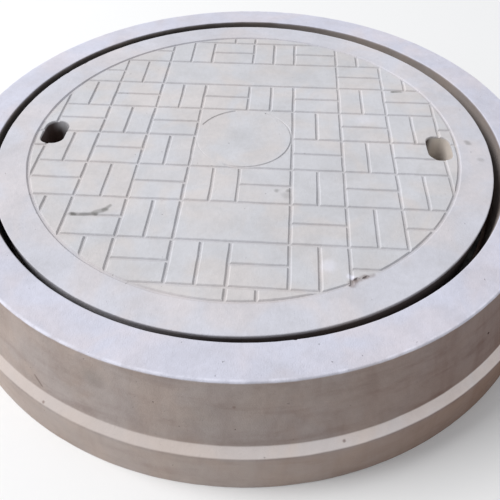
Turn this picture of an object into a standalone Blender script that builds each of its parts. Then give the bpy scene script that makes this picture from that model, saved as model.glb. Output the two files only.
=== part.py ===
"""Round precast concrete manhole cover lying in its frame, with its reinforcement.

Units are metres and +Z is up. The origin is on the frame's axis, at its underside.
+X runs through the two lifting holes. The cover lies a little off the frame's axis,
as a loose cover does. Reinforcement lies in channels that follow it with BAR_GAP of room,
and every channel comes out at a lifting hole or at a spacer's pocket. The cage is set out
from the line of the lifting holes, which passes a little in front of the cover's middle.
"""

import math

import bmesh
import bpy
from mathutils import Matrix, Vector

# Driving dimensions
CLEAR_OPENING = 0.700
FRAME_HEIGHT = 0.172
COVER_THICKNESS = 0.064
COVER_RECESS = 0.001
SEAT_LAP = 0.021
COVER_TAPER = 0.004
COVER_SHIFT = Vector((-0.0033, -0.0065, 0.0))

# Cover
COVER_TOP_ROUND = 0.003
COVER_FOOT_CHAMFER = 0.004
HOLE_EDGE_DISTANCE = 0.075
HOLE_LINE = -0.0062
HOLE_SKEW = 0.0023
HOLE_LENGTH = 0.039
HOLE_WIDTH = 0.060
HOLE_CORNER = 0.014
BORDER_MARGIN = 0.049
CENTRE_DISC_RADIUS = 0.074
BRICK_LENGTH = 0.0759
GROOVE_WIDTH = 0.005
GROOVE_DEPTH = 0.003
BLANK_PANELS = ((-2, 2, 2, 3), (-1, -3, 1, -2))

# Frame
RIM_WIDTH = 0.0506
RIM_GAP = 0.0132
SEAT_GAP = 0.0095
ARRIS = 0.002
LEDGE_DEPTH = 0.010
LEDGE_LEVEL = 0.065
BASE_SPREAD = 0.0442
LEDGE_SETBACK = 0.006
WALL_FOOT_SETBACK = 0.0185
BORE_CHAMFER = 0.004

# Bedding ring
GASKET_THICKNESS = 0.004
GASKET_INSET = 0.002
GASKET_WALL_GAP = 0.0035
BEDDING_GAP = 0.0003

# Reinforcement
BAR_GAP = 0.0003
MAIN_BAR = 0.010
CROSS_BAR = 0.010
RING_BAR = 0.008
LIFTING_BAR = 0.012
MAIN_BAR_COUNT = 8
CROSS_BAR_PAIRS = 3
EDGE_BAYS = 2 / 3
COVER_TO_BAR = 0.015
COVER_SIDE_TO_BAR = 0.019
RING_SETBACK = 0.026
CROSS_BAR_SETBACK = 0.035
HOLE_TO_CROSS_BAR = 0.020
LIFTING_BAR_TAIL = 0.015
STIRRUP_BAR = 0.006
STIRRUP_COUNT = 8
FRAME_TO_STIRRUP = 0.018
FRAME_HOOP = 0.008
HOOP_SETBACK = 0.012
LINK_BEND = 0.006
LEAST_BEND = math.radians(15.0)

# Spacers under the cages
FRAME_SPACER_COUNT = 4
COVER_SPACER_WIDTH = 0.026
FRAME_SPACER_WIDTH = 0.028
SPACER_TAPER = 0.003
SPACER_BAYS = 1.5

# Facets of the round solids
COVER_SIDES = 72
FRAME_SIDES = 72
GROOVE_SIDES = 48
HOOP_SIDES = 32
BAR_SIDES = 8
LIFTING_BAR_SIDES = 12
HOLE_CORNER_STEPS = 4
LINK_BEND_STEPS = 2
CUT_MARGIN = 0.004
WELD_DISTANCE = 0.0001
SMOOTH_ANGLE = math.radians(35.0)

# Hoops and links have six facets with a flat on top, at this share of their radius
HEX_FACETS = 6
HEX_FLAT = math.cos(math.pi / HEX_FACETS)

# Heights and radii that follow from the sizes above
COVER_RADIUS = CLEAR_OPENING / 2 + SEAT_LAP + COVER_TAPER
COVER_FOOT_RADIUS = COVER_RADIUS - COVER_TAPER
COVER_TOP = FRAME_HEIGHT - COVER_RECESS
COVER_BOTTOM = COVER_TOP - COVER_THICKNESS
GASKET_TOP = COVER_BOTTOM - BEDDING_GAP
GASKET_BOTTOM = GASKET_TOP - GASKET_THICKNESS
SEAT_LEVEL = GASKET_BOTTOM - BEDDING_GAP
BORE_RADIUS = CLEAR_OPENING / 2
RECESS_TOP_RADIUS = COVER_RADIUS + RIM_GAP
RECESS_FOOT_RADIUS = COVER_FOOT_RADIUS + SEAT_GAP
RIM_RADIUS = RECESS_TOP_RADIUS + RIM_WIDTH
FRAME_BASE_RADIUS = RIM_RADIUS + BASE_SPREAD
LEDGE_RADIUS = FRAME_BASE_RADIUS - LEDGE_SETBACK
WALL_FOOT_RADIUS = FRAME_BASE_RADIUS - WALL_FOOT_SETBACK
BORDER_RADIUS = COVER_RADIUS - BORDER_MARGIN
HOLE_CENTRE = COVER_RADIUS - HOLE_EDGE_DISTANCE

MAIN_BAR_LEVEL = COVER_BOTTOM + COVER_TO_BAR + MAIN_BAR / 2
CROSS_BAR_LEVEL = MAIN_BAR_LEVEL + MAIN_BAR / 2 + BAR_GAP + CROSS_BAR / 2
RING_LEVEL = MAIN_BAR_LEVEL + MAIN_BAR / 2 + BAR_GAP + HEX_FLAT * RING_BAR / 2
LIFTING_BAR_LEVEL = MAIN_BAR_LEVEL + MAIN_BAR / 2 - LIFTING_BAR / 2
MAIN_BAR_REACH = COVER_FOOT_RADIUS - COVER_SIDE_TO_BAR
RING_RADIUS = COVER_FOOT_RADIUS - RING_SETBACK
CROSS_BAR_REACH = COVER_FOOT_RADIUS - CROSS_BAR_SETBACK
OUTER_CROSS_BAR = HOLE_CENTRE - HOLE_LENGTH / 2 - HOLE_TO_CROSS_BAR - CROSS_BAR / 2
MAIN_BAR_PITCH = 2 * RING_RADIUS / (MAIN_BAR_COUNT - 1 + EDGE_BAYS)

collections = {}


def clear_scene():
    for obj in list(bpy.data.objects):
        bpy.data.objects.remove(obj, do_unlink=True)


def collection(name):
    """The collection of this name, made on first use."""
    if name not in collections:
        collections[name] = bpy.data.collections.new(name)
        bpy.context.scene.collection.children.link(collections[name])
    return collections[name]


def material(name, colour, roughness, metallic=0.0):
    made = bpy.data.materials.new(name)
    made.use_nodes = True
    shader = made.node_tree.nodes["Principled BSDF"]
    shader.inputs["Base Color"].default_value = (*colour, 1.0)
    shader.inputs["Roughness"].default_value = roughness
    shader.inputs["Metallic"].default_value = metallic
    made.diffuse_color = (*colour, 1.0)
    return made


def move_to(obj, place):
    """Puts an object in one collection only."""
    for old in list(obj.users_collection):
        old.objects.unlink(obj)
    collection(place).objects.link(obj)


def finish_part(obj, finish):
    """Gives a part its finish, and smooth shading where its faces meet at a small angle."""
    obj.data.materials.clear()
    obj.data.materials.append(finish)
    move_to(obj, "manhole_cover")
    if obj.type == "MESH":
        obj.data.shade_smooth()
        obj.data.set_sharp_from_angle(angle=SMOOTH_ANGLE)
    return obj


def as_cutter(obj, group):
    move_to(obj, group)
    obj.hide_render = True
    obj.display_type = "WIRE"
    return obj


def mesh_object(name, shape):
    """An object made from a finished bmesh."""
    mesh = bpy.data.meshes.new(name)
    shape.to_mesh(mesh)
    shape.free()
    obj = bpy.data.objects.new(name, mesh)
    bpy.context.scene.collection.objects.link(obj)
    return obj


def turned(name, profile, sides):
    """A ring turned about +Z from a closed profile of (radius, height) that runs down its outside."""
    shape = bmesh.new()
    points = [shape.verts.new((radius, 0.0, height)) for radius, height in profile]
    for start, end in zip(points, points[1:] + points[:1]):
        shape.edges.new((start, end))
    obj = mesh_object(name, shape)
    screw = obj.modifiers.new("turn", "SCREW")
    screw.steps = sides
    screw.render_steps = sides
    screw.use_merge_vertices = True
    screw.merge_threshold = WELD_DISTANCE
    return obj


def straight_bar(name, diameter, start, end, sides=BAR_SIDES):
    """A round bar between two points at one height, with an edge of its facets on top."""
    run = Vector(end) - Vector(start)
    shape = bmesh.new()
    bmesh.ops.create_cone(
        shape, cap_ends=True, segments=sides, radius1=diameter / 2, radius2=diameter / 2, depth=run.length
    )
    turn = Vector((0.0, 0.0, 1.0)).rotation_difference(run).to_matrix()
    obj = mesh_object(name, shape)
    obj.matrix_world = Matrix.Translation((Vector(start) + Vector(end)) / 2) @ turn.to_4x4()
    return obj


def hoop(name, diameter, radius, level, centre=Vector((0.0, 0.0, 0.0))):
    """A ring bar lying level."""
    bpy.ops.mesh.primitive_torus_add(
        major_segments=HOOP_SIDES,
        minor_segments=HEX_FACETS,
        major_radius=radius,
        minor_radius=diameter / 2,
        location=centre + Vector((0.0, 0.0, level)),
    )
    obj = bpy.context.object
    obj.name = name
    return obj


def bent(corners, radius, steps):
    """A closed outline of 2D points whose corners are arcs of this radius."""
    points = []
    for before, corner, after in zip(corners[-1:] + corners[:-1], corners, corners[1:] + corners[:1]):
        back = (Vector(before) - Vector(corner)).normalized()
        ahead = (Vector(after) - Vector(corner)).normalized()
        half_turn = (math.pi - back.angle(ahead)) / 2
        if half_turn < LEAST_BEND:
            points.append(Vector(corner))
            continue
        centre = Vector(corner) + (back + ahead).normalized() * radius / math.cos(half_turn)
        spoke = Vector(corner) + back * radius * math.tan(half_turn) - centre
        turn = math.copysign(2 * half_turn, back.x * ahead.y - back.y * ahead.x) * -1
        for step in range(steps + 1):
            points.append(centre + Matrix.Rotation(turn * step / steps, 2) @ spoke)
    return points


def link_bar(name, diameter, outline, angle):
    """A closed link in the upright plane at this angle about the axis, through (radius, height) points."""
    curve = bpy.data.curves.new(name, "CURVE")
    curve.dimensions = "3D"
    curve.bevel_depth = diameter / 2
    curve.bevel_resolution = HEX_FACETS // 2 - 2
    spline = curve.splines.new("POLY")
    spline.points.add(len(outline) - 1)
    spline.use_cyclic_u = True
    for point, (radius, height) in zip(spline.points, outline):
        point.co = (radius, 0.0, height, 1.0)
    obj = bpy.data.objects.new(name, curve)
    bpy.context.scene.collection.objects.link(obj)
    obj.rotation_euler.z = angle
    return obj


def as_mesh(obj):
    """A mesh object made from a curve object, which it replaces."""
    bpy.context.view_layer.update()
    evaluated = obj.evaluated_get(bpy.context.evaluated_depsgraph_get())
    mesh = bpy.data.meshes.new_from_object(evaluated)
    made = bpy.data.objects.new(obj.name + "_mesh", mesh)
    bpy.context.scene.collection.objects.link(made)
    made.matrix_world = obj.matrix_world.copy()
    bpy.data.objects.remove(obj, do_unlink=True)
    return made


def wedge_block(name, length, width, bottom, top, taper, angle=0.0, centre=Vector((0.0, 0.0, 0.0))):
    """An upright block that is wider by its taper at the top than at the bottom, on every side."""
    bpy.ops.mesh.primitive_cube_add(size=1.0)
    obj = bpy.context.object
    obj.name = name
    for vertex in obj.data.vertices:
        spread = taper if vertex.co.z > 0 else 0.0
        vertex.co.x = math.copysign(length / 2 + spread, vertex.co.x)
        vertex.co.y = math.copysign(width / 2 + spread, vertex.co.y)
        vertex.co.z = top if vertex.co.z > 0 else bottom
    obj.location = centre
    obj.rotation_euler.z = angle
    return obj


def box(name, low, high):
    """An upright box between two corners."""
    bpy.ops.mesh.primitive_cube_add(size=1.0)
    obj = bpy.context.object
    obj.name = name
    obj.data.transform(Matrix.Diagonal((*(Vector(high) - Vector(low)), 1.0)))
    obj.data.transform(Matrix.Translation((Vector(high) + Vector(low)) / 2))
    return obj


def subtract(obj, group):
    """Cuts every cutter of a collection from a solid."""
    cut = obj.modifiers.new(group, "BOOLEAN")
    cut.operand_type = "COLLECTION"
    cut.collection = collection(group)
    cut.solver = "MANIFOLD"


def chord(radius, offset):
    """Half the length of the chord this far from a circle's middle, or 0 outside the circle."""
    return math.sqrt(max(radius**2 - offset**2, 0.0))


def without(spans, low, high):
    """The spans less the stretch from low to high."""
    kept = []
    for start, end in spans:
        kept += [(start, min(end, low)), (max(start, high), end)]
    return [(start, end) for start, end in kept if end - start > GROOVE_WIDTH]


def is_blank(column, row):
    """Whether this brick is in a panel without grooves."""
    return any(u0 <= column < u1 and v0 <= row < v1 for u0, v0, u1, v1 in BLANK_PANELS)


def grid_spans(index, panels):
    """The stretches of one grid line that are grooved, measured along it from the cover's middle."""
    offset = index * BRICK_LENGTH
    reach = chord(BORDER_RADIUS, offset)
    spans = without([(-reach, reach)], 0.0, 0.0)
    disc = chord(CENTRE_DISC_RADIUS, offset)
    if disc > 0:
        spans = without(spans, -disc, disc)
    for low_across, low_along, high_across, high_along in panels:
        if low_across < index < high_across:
            spans = without(spans, low_along * BRICK_LENGTH, high_along * BRICK_LENGTH)
    return [(offset, start, end) for start, end in spans]


def brick_spans(column, row):
    """The groove that halves one brick pair: its offset from the middle, its start and its end."""
    across, along = (column, row) if (column + row) % 2 else (row, column)
    offset = (across + 0.5) * BRICK_LENGTH
    reach = chord(BORDER_RADIUS, offset)
    start = max(along * BRICK_LENGTH, -reach)
    end = min((along + 1) * BRICK_LENGTH, reach)
    disc = chord(CENTRE_DISC_RADIUS, offset)
    spans = without([(start, end)], -disc, disc) if disc > 0 else [(start, end)]
    return [(offset, low, high) for low, high in spans if high - low > 2 * GROOVE_WIDTH]


def tread_grooves():
    """Every straight groove as (runs along y, offset, start, end)."""
    grooves = []
    flipped = [(v0, u0, v1, u1) for u0, v0, u1, v1 in BLANK_PANELS]
    last = math.ceil(BORDER_RADIUS / BRICK_LENGTH)
    for index in range(-last, last + 1):
        grooves += [(True, *span) for span in grid_spans(index, BLANK_PANELS)]
        grooves += [(False, *span) for span in grid_spans(index, flipped)]
    for column in range(-last, last):
        for row in range(-last, last):
            if not is_blank(column, row):
                runs_along_y = (column + row) % 2 == 1
                grooves += [(runs_along_y, *span) for span in brick_spans(column, row)]
    return grooves


def cut_tread():
    """Cutters for the tread: the border circle, the centre disc and the brick grooves."""
    half = GROOVE_WIDTH / 2
    floor = COVER_TOP - GROOVE_DEPTH
    roof = COVER_TOP + CUT_MARGIN
    for index, (along_y, offset, start, end) in enumerate(tread_grooves()):
        low = Vector((offset - half, start, floor) if along_y else (start, offset - half, floor))
        high = Vector((offset + half, end, roof) if along_y else (end, offset + half, roof))
        as_cutter(box(f"groove_{index}", low + COVER_SHIFT, high + COVER_SHIFT), "cover_cutters")
    for name, radius in (("border", BORDER_RADIUS), ("centre", CENTRE_DISC_RADIUS)):
        profile = [(radius + half, roof), (radius + half, floor), (radius - half, floor), (radius - half, roof)]
        ring = turned(name + "_groove", profile, GROOVE_SIDES)
        ring.location = COVER_SHIFT
        as_cutter(ring, "cover_cutters")


def hole_offset(side):
    """How far a lifting hole is off the cover's middle line, on the left (-1) or the right (1)."""
    return HOLE_LINE - side * HOLE_SKEW


def lifting_hole_cutter(name, side):
    """A cutter for one lifting hole: an upright prism with round corners."""
    shape = bmesh.new()
    outline = []
    inner_x = HOLE_LENGTH / 2 - HOLE_CORNER
    inner_y = HOLE_WIDTH / 2 - HOLE_CORNER
    for corner, (sign_x, sign_y) in enumerate(((1, 1), (-1, 1), (-1, -1), (1, -1))):
        for step in range(HOLE_CORNER_STEPS + 1):
            angle = math.pi / 2 * (corner + step / HOLE_CORNER_STEPS)
            x = sign_x * inner_x + HOLE_CORNER * math.cos(angle)
            y = sign_y * inner_y + HOLE_CORNER * math.sin(angle)
            outline.append(shape.verts.new((x, y, COVER_BOTTOM - CUT_MARGIN)))
    base = shape.faces.new(outline)
    raised = bmesh.ops.extrude_face_region(shape, geom=[base])["geom"]
    top = [item for item in raised if isinstance(item, bmesh.types.BMVert)]
    bmesh.ops.translate(shape, verts=top, vec=(0.0, 0.0, COVER_THICKNESS + 2 * CUT_MARGIN))
    bmesh.ops.recalc_face_normals(shape, faces=shape.faces)
    obj = mesh_object(name, shape)
    obj.location = COVER_SHIFT + Vector((side * HOLE_CENTRE, hole_offset(side), 0.0))
    return as_cutter(obj, "cover_cutters")


def embed(make, name, diameter, group, finish, *place, **options):
    """A bar as a part, and the channel that it lies in as a cutter."""
    channel = make(name + "_channel", diameter + 2 * BAR_GAP, *place, **options)
    if channel.type == "CURVE":
        channel = as_mesh(channel)
    as_cutter(channel, group)
    return finish_part(make(name, diameter, *place, **options), finish)


def embed_straight(name, diameter, start, end, finish, sides=BAR_SIDES):
    """A straight bar of the cover's cage, and its channel, which is longer by the gap at each end."""
    start = Vector(start) + COVER_SHIFT
    end = Vector(end) + COVER_SHIFT
    room = (end - start).normalized() * BAR_GAP
    channel = straight_bar(name + "_channel", diameter + 2 * BAR_GAP, start - room, end + room, sides)
    as_cutter(channel, "cover_cutters")
    return finish_part(straight_bar(name, diameter, start, end, sides), finish)


def make_cover_cage(steel):
    """The cover's reinforcement: main bars, cross bars on top of them, a ring and two lifting bars."""
    for index in range(MAIN_BAR_COUNT):
        y = HOLE_LINE + (index - (MAIN_BAR_COUNT - 1) / 2) * MAIN_BAR_PITCH
        reach = chord(MAIN_BAR_REACH, abs(y) + MAIN_BAR / 2)
        ends = (-reach, y, MAIN_BAR_LEVEL), (reach, y, MAIN_BAR_LEVEL)
        embed_straight(f"cover_main_bar_{index + 1}", MAIN_BAR, *ends, steel)
    for index in range(-CROSS_BAR_PAIRS, CROSS_BAR_PAIRS + 1):
        x = index * OUTER_CROSS_BAR / CROSS_BAR_PAIRS
        reach = chord(CROSS_BAR_REACH, abs(x) + CROSS_BAR / 2)
        ends = (x, -reach, CROSS_BAR_LEVEL), (x, reach, CROSS_BAR_LEVEL)
        embed_straight(f"cover_cross_bar_{index + CROSS_BAR_PAIRS + 1}", CROSS_BAR, *ends, steel)
    embed(hoop, "cover_edge_ring", RING_BAR, "cover_cutters", steel, RING_RADIUS, RING_LEVEL, COVER_SHIFT)
    for side, word in ((-1, "left"), (1, "right")):
        inner = side * (OUTER_CROSS_BAR - LIFTING_BAR_TAIL)
        outer = side * MAIN_BAR_REACH
        ends = [(x, hole_offset(side), LIFTING_BAR_LEVEL) for x in (inner, outer)]
        embed_straight(f"cover_lifting_bar_{word}", LIFTING_BAR, *ends, steel, LIFTING_BAR_SIDES)


def embed_spacer(name, length, width, underside, top, finish, group, angle, centre):
    """A spacer block flush with the underside, and its pocket."""
    place = {"angle": angle, "centre": centre}
    wall = 2 * BAR_GAP
    wedge_block(name, length, width, underside + BAR_GAP, top, SPACER_TAPER, **place)
    block = finish_part(bpy.context.object, finish)
    slope = SPACER_TAPER / (top - underside - BAR_GAP)
    low = underside - CUT_MARGIN
    foot = -2 * slope * (underside + BAR_GAP - low)
    pocket = wedge_block(
        name + "_pocket",
        length + wall + foot,
        width + wall + foot,
        low,
        top + BAR_GAP,
        SPACER_TAPER - foot / 2 + slope * BAR_GAP,
        **place,
    )
    as_cutter(pocket, group)
    return block


def make_cover_spacers(finish):
    """Four blocks under the second main bars from the middle, between cross bars."""
    x = SPACER_BAYS * OUTER_CROSS_BAR / CROSS_BAR_PAIRS
    y = SPACER_BAYS * MAIN_BAR_PITCH
    top = MAIN_BAR_LEVEL - MAIN_BAR / 2 - BAR_GAP
    for index, (sign_x, sign_y) in enumerate(((1, 1), (-1, 1), (-1, -1), (1, -1))):
        centre = COVER_SHIFT + Vector((sign_x * x, HOLE_LINE + sign_y * y, 0.0))
        width = COVER_SPACER_WIDTH
        place = (width, width, COVER_BOTTOM, top, finish, "cover_cutters", 0.0, centre)
        embed_spacer(f"cover_spacer_{index + 1}", *place)


def make_cover(concrete, steel, block):
    """The patterned disc with its cage."""
    make_cover_cage(steel)
    make_cover_spacers(block)
    cut_tread()
    for side, word in ((-1, "left"), (1, "right")):
        lifting_hole_cutter(f"lifting_hole_{word}", side)
    shape = bmesh.new()
    bmesh.ops.create_cone(
        shape,
        cap_ends=True,
        segments=COVER_SIDES,
        radius1=COVER_FOOT_RADIUS,
        radius2=COVER_RADIUS,
        depth=COVER_THICKNESS,
    )
    for sign, size, steps in ((1, COVER_TOP_ROUND, 2), (-1, COVER_FOOT_CHAMFER, 1)):
        rim = [edge for edge in shape.edges if all(sign * vert.co.z > 0 for vert in edge.verts)]
        bmesh.ops.bevel(shape, geom=rim, offset=size, segments=steps, profile=0.5, affect="EDGES")
    slab = mesh_object("cover_slab", shape)
    slab.location = COVER_SHIFT + Vector((0.0, 0.0, (COVER_TOP + COVER_BOTTOM) / 2))
    subtract(slab, "cover_cutters")
    return finish_part(slab, concrete)


def frame_profile():
    """The frame's section, down its outside, along the underside and up the bore, seat and recess."""
    return [
        (RECESS_TOP_RADIUS + ARRIS, FRAME_HEIGHT),
        (RIM_RADIUS - ARRIS, FRAME_HEIGHT),
        (RIM_RADIUS, FRAME_HEIGHT - ARRIS),
        (WALL_FOOT_RADIUS, LEDGE_LEVEL + LEDGE_DEPTH),
        (LEDGE_RADIUS, LEDGE_LEVEL),
        (FRAME_BASE_RADIUS, ARRIS),
        (FRAME_BASE_RADIUS - ARRIS, 0.0),
        (BORE_RADIUS + BORE_CHAMFER, 0.0),
        (BORE_RADIUS, BORE_CHAMFER),
        (BORE_RADIUS, SEAT_LEVEL - BORE_CHAMFER),
        (BORE_RADIUS + BORE_CHAMFER, SEAT_LEVEL),
        (RECESS_FOOT_RADIUS, SEAT_LEVEL),
        (RECESS_TOP_RADIUS, FRAME_HEIGHT - ARRIS),
    ]


def make_frame_cage(steel):
    """The frame's reinforcement: closed links that follow the section, and ring bars on them."""
    inset = FRAME_TO_STIRRUP
    top = FRAME_HEIGHT - inset
    seat = SEAT_LEVEL - inset
    inner = BORE_RADIUS + inset
    neck_inner = RECESS_TOP_RADIUS + inset
    batter = (WALL_FOOT_RADIUS - RIM_RADIUS) / (FRAME_HEIGHT - LEDGE_LEVEL - LEDGE_DEPTH)
    neck_outer = RIM_RADIUS - inset + batter * inset
    outline = [
        (inner, inset),
        (FRAME_BASE_RADIUS - inset, inset),
        (WALL_FOOT_RADIUS - inset, LEDGE_LEVEL),
        (neck_outer, top),
        (neck_inner, top),
        (RECESS_FOOT_RADIUS + inset, seat),
        (inner, seat),
    ]
    outline = bent(outline, LINK_BEND, LINK_BEND_STEPS)
    for index in range(STIRRUP_COUNT):
        angle = 2 * math.pi * (index + 0.5) / STIRRUP_COUNT
        embed(link_bar, f"frame_stirrup_{index + 1}", STIRRUP_BAR, "frame_cutters", steel, outline, angle)
    step = HEX_FLAT * (STIRRUP_BAR + FRAME_HOOP) / 2 + BAR_GAP
    hoops = (
        ("frame_hoop_inner", inner + HOOP_SETBACK, inset + step),
        ("frame_hoop_outer", FRAME_BASE_RADIUS - inset - HOOP_SETBACK, inset + step),
        ("frame_hoop_seat", inner + HOOP_SETBACK, seat - step),
        ("frame_hoop_rim", (neck_inner + neck_outer) / 2, top - step),
    )
    for name, radius, level in hoops:
        embed(hoop, name, FRAME_HOOP, "frame_cutters", steel, radius, level)
    return hoops[0][1], hoops[1][1], inset + step - HEX_FLAT * FRAME_HOOP / 2


def make_frame(concrete, steel, block):
    """The frame with its cage, which stands on spacer blocks that cross under both lower hoops."""
    inner_hoop, outer_hoop, hoop_underside = make_frame_cage(steel)
    length = outer_hoop - inner_hoop
    middle = (outer_hoop + inner_hoop) / 2
    for index in range(FRAME_SPACER_COUNT):
        angle = 2 * math.pi * index / FRAME_SPACER_COUNT
        centre = Matrix.Rotation(angle, 3, "Z") @ Vector((middle, 0.0, 0.0))
        size = (length, FRAME_SPACER_WIDTH, 0.0, hoop_underside - BAR_GAP)
        embed_spacer(f"frame_spacer_{index + 1}", *size, block, "frame_cutters", angle, centre)
    ring = turned("frame_ring", frame_profile(), FRAME_SIDES)
    subtract(ring, "frame_cutters")
    return finish_part(ring, concrete)


def make_gasket(rubber):
    """The flat ring that the cover beds on."""
    inner = BORE_RADIUS + BORE_CHAMFER + GASKET_INSET
    outer = RECESS_FOOT_RADIUS - GASKET_WALL_GAP
    profile = [(outer, GASKET_TOP), (outer, GASKET_BOTTOM), (inner, GASKET_BOTTOM), (inner, GASKET_TOP)]
    return finish_part(turned("seat_gasket", profile, FRAME_SIDES), rubber)


def main():
    clear_scene()
    concrete = material("cover_concrete", (0.63, 0.62, 0.63), 0.88)
    frame_concrete = material("frame_concrete", (0.58, 0.56, 0.55), 0.9)
    steel = material("bar_steel", (0.30, 0.20, 0.15), 0.7, 0.6)
    block = material("spacer_concrete", (0.45, 0.44, 0.42), 0.92)
    rubber = material("gasket_rubber", (0.03, 0.03, 0.03), 0.75)
    make_cover(concrete, steel, block)
    make_frame(frame_concrete, steel, block)
    make_gasket(rubber)
    for group in ("cover_cutters", "frame_cutters"):
        collection(group).hide_render = True


main()
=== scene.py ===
"""Looks of a round precast concrete manhole cover in its frame, built around the CAD model.

Units are metres and +Z is up, in the CAD model's own frame: the origin is on the frame's axis
at its underside, and +X runs through the two lifting holes. The cover lies a little off the
frame's axis. Sizes and places come from the CAD model's boxes and from the property groups.
"""

import math
import random

import bpy
from bpy.props import FloatProperty, FloatVectorProperty, IntProperty, PointerProperty
from mathutils import Euler, Matrix, Vector


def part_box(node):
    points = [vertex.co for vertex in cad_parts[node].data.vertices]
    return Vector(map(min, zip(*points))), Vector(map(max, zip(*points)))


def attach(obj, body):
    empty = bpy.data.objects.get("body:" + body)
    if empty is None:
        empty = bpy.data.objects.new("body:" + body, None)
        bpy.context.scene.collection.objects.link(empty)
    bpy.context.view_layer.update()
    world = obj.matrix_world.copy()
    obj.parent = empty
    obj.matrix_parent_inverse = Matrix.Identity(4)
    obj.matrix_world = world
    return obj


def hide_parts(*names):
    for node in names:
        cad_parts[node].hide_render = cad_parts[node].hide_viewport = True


bl_info = {
    "name": "Precast Manhole Cover",
    "version": (1, 0, 0),
    "blender": (4, 5, 0),
    "location": "View3D > Sidebar > Manhole",
    "description": "Casts the concrete, steel and rubber pieces of a manhole cover in its frame",
    "category": "Add Mesh",
}

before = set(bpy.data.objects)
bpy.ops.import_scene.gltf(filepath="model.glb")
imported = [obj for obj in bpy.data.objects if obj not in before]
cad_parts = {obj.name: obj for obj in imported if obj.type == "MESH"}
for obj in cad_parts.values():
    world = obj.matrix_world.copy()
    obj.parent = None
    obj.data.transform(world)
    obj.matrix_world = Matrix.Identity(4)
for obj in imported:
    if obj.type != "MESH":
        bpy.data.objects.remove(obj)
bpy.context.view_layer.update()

SLAB_LOW, SLAB_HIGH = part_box("cover_slab")
RING_LOW, RING_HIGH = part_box("frame_ring")
GASKET_LOW, GASKET_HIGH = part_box("seat_gasket")
COVER_CENTRE = Vector(((SLAB_LOW.x + SLAB_HIGH.x) / 2, (SLAB_LOW.y + SLAB_HIGH.y) / 2, 0.0))
COVER_RADIUS = (SLAB_HIGH.x - SLAB_LOW.x) / 2
COVER_TOP = SLAB_HIGH.z
COVER_BOTTOM = SLAB_LOW.z
FRAME_TOP = RING_HIGH.z
BASE_RADIUS = RING_HIGH.x
CLEARANCE = 0.0003
WELD = 1e-5
GASKET_SETBACK = 0.006
POCKET_OVERRUN = 0.002
POCKET_TAPER = 0.006
COVER_SIDES = 384
FRAME_STEPS = 360
GASKET_STEPS = 240
GROOVE_STEPS = 192
FULL_TURN = 2 * math.pi
UP = Vector((0.0, 0.0, 1.0))


def srgb(red, green, blue):
    """A linear colour from display values of 0 to 255."""
    parts = (value / 255 for value in (red, green, blue))
    return tuple(part / 12.92 if part <= 0.04045 else ((part + 0.055) / 1.055) ** 2.4 for part in parts)


def length(name, description, default):
    return FloatProperty(name=name, description=description, default=default, min=0.0, precision=4, unit="LENGTH")


def bearing(name, description, default):
    return FloatProperty(name=name, description=description, default=default, unit="ROTATION")


def colour(name, description, default):
    return FloatVectorProperty(
        name=name, description=description, default=default, subtype="COLOR", min=0.0, max=1.0
    )


class CoverSizes(bpy.types.PropertyGroup):
    """Sizes of the cast cover that its CAD box doesn't give"""

    taper: length("Side taper", "How much smaller the underside's radius is", 0.004)
    arris: length("Top arris", "Width of the rounding round the top", 0.0022)
    foot: length("Foot chamfer", "Width of the chamfer round the underside", 0.004)
    border_margin: length("Border margin", "Plain band between the edge and the border groove", 0.0488)
    disc_radius: length("Disc radius", "Radius of the round groove in the middle", 0.074)
    brick: length("Brick", "Length of one brick pair of the tread", 0.0759)
    groove_floor: length("Groove floor", "Width of a groove at its floor", 0.0028)
    groove_mouth: length("Groove mouth", "Width of a groove at the top", 0.0078)
    groove_depth: length("Groove depth", "Depth of a groove", 0.0026)
    hole_inset: length("Hole inset", "From the cover's edge to the middle of a lifting hole", 0.075)
    hole_length: length("Hole length", "Size of a lifting hole towards the middle", 0.037)
    hole_width: length("Hole width", "Size of a lifting hole along the edge", 0.058)
    hole_corner: length("Hole corner", "Corner radius of a lifting hole", 0.0155)
    hole_flare: length("Hole flare", "How far the mouth of a lifting hole opens", 0.0022)


class FrameSizes(bpy.types.PropertyGroup):
    """Sizes of the cast frame that its CAD box doesn't give"""

    recess_top: length("Recess at top", "Radius of the cover's recess at the top", 0.3882)
    recess_foot: length("Recess at seat", "Radius of the cover's recess at the seat", 0.3805)
    rim_radius: length("Rim radius", "Radius of the frame's top", 0.4388)
    wall_foot: length("Wall foot", "Radius at the foot of the sloping wall", 0.4645)
    ledge_radius: length("Ledge radius", "Radius at the outer edge of the ledge", 0.477)
    ledge_level: length("Ledge level", "Height of the outer edge of the ledge", 0.065)
    ledge_depth: length("Ledge depth", "How much the ledge falls to its outer edge", 0.010)
    bore: length("Bore", "Radius of the clear opening", 0.350)
    seat_level: length("Seat level", "Height of the seat for the cover", 0.1024)
    rounding: length("Rounding", "Radius of the worn arrises", 0.0022)
    roughness: length("Roughness", "How deep the cast surface is uneven", 0.0009)
    pinholes: IntProperty(name="Pinholes", description="Air holes on the outside", default=18, min=0)
    chips: IntProperty(name="Chips", description="Small breaks along the arrises", default=22, min=0)


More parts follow.
